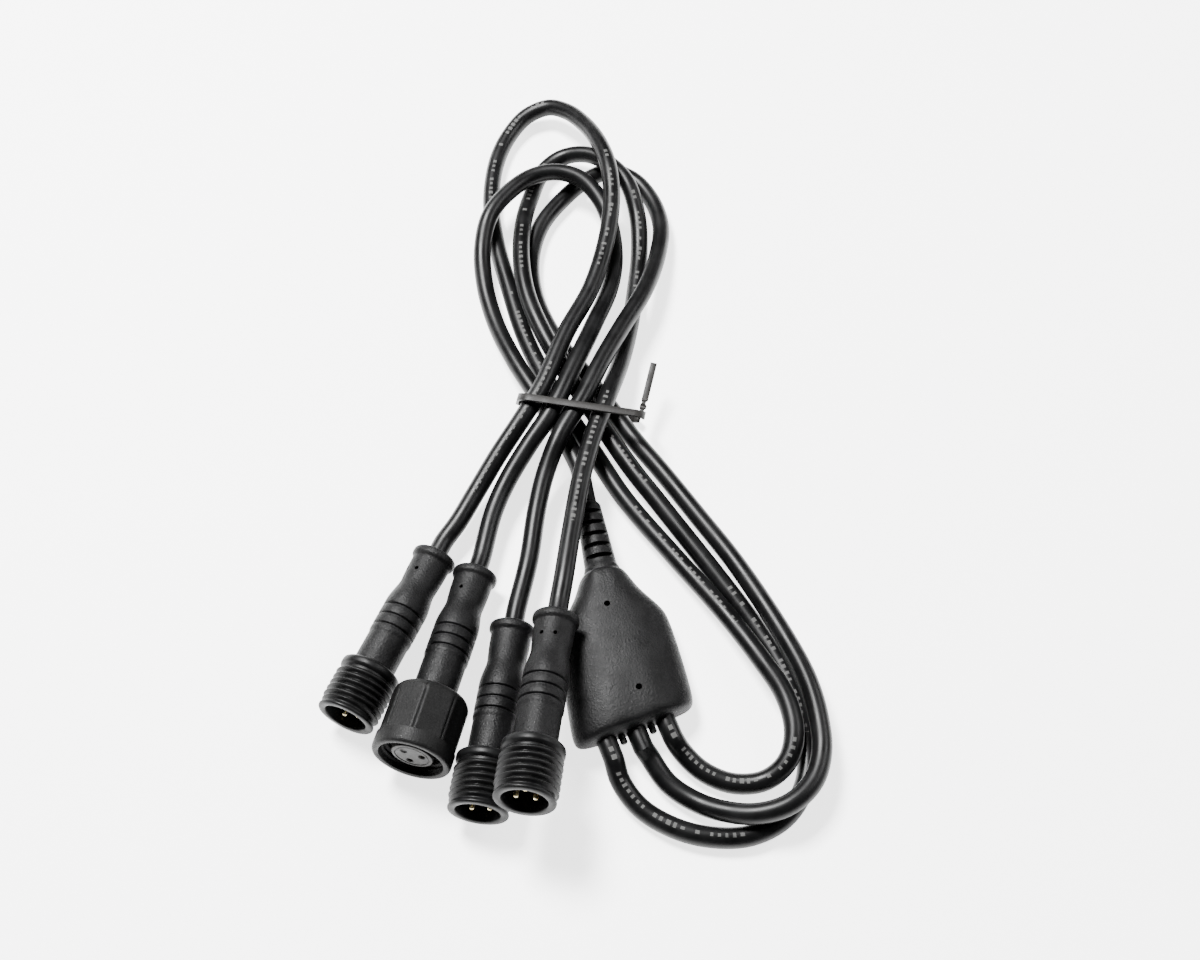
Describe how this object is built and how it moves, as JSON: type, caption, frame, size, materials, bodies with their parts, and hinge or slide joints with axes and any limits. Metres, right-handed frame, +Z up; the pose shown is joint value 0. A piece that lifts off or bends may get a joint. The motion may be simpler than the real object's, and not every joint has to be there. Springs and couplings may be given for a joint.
{
  "type": "solar cable connector",
  "caption": "Waterproof splitter lead: a moulded junction joins one inlet cable with a nut-locked socket to several outlet cables with threaded plugs, bundled by a twist tie.",
  "frame": {"origin": "middle of the splitter's footprint, on the surface that the lead lies on", "axes": "+Y along the splitter towards the inlet cable, +Z up from the surface, +X to the right of the splitter seen from its outlet end"},
  "size_m": [0.0952, 0.19, 0.0238],
  "materials": {
    "cable_jacket": "semi-gloss PVC jacket with fine drawing lines",
    "moulded_black": "matte overmould with a fine sparkle texture",
    "thread_black": "satin hard plastic",
    "nut_black": "satin hard plastic with fine texture",
    "insert_grey": "dull grey-black plastic",
    "inner_mould": "hidden hard inner mould",
    "seal_rubber": "soft rubber seal",
    "contact_brass": "pale gold-plated contact",
    "crimp_tin": "tinned crimp",
    "tie_plastic": "dull flat plastic-coated wire tie"
  },
  "bodies": {
    "lead": {"splitter_overmould": "moulded_black", "splitter_inner_mould": "inner_mould", "splice_1": "crimp_tin", "splice_2": "crimp_tin", "splice_3": "crimp_tin", "cable_inlet": "cable_jacket", "cable_outlet_a": "cable_jacket", "cable_outlet_b": "cable_jacket", "cable_outlet_c": "cable_jacket", "twist_tie": "tie_plastic", "male_a_grip": "moulded_black", "male_a_shell": "thread_black", "male_a_pin_1": "contact_brass", "male_a_pin_2": "contact_brass", "male_a_pin_3": "contact_brass", "male_b_grip": "moulded_black", "male_b_shell": "thread_black", "male_b_pin_1": "contact_brass", "male_b_pin_2": "contact_brass", "male_b_pin_3": "contact_brass", "male_c_grip": "moulded_black", "male_c_shell": "thread_black", "male_c_pin_1": "contact_brass", "male_c_pin_2": "contact_brass", "male_c_pin_3": "contact_brass", "female_grip": "moulded_black", "female_insert": "insert_grey", "female_socket_1": "contact_brass", "female_socket_2": "contact_brass", "female_socket_3": "contact_brass", "o_ring": "seal_rubber"},
    "nut": {"coupling_nut": "nut_black"}
  },
  "joints": [
    {"name": "nut_turn", "type": "hinge", "parent": "lead", "child": "nut", "pos_m": [-0.03977, -0.01662, 0.00854], "axis": [-0.415, -0.9022, 0.1177], "continuous": true}
  ]
}
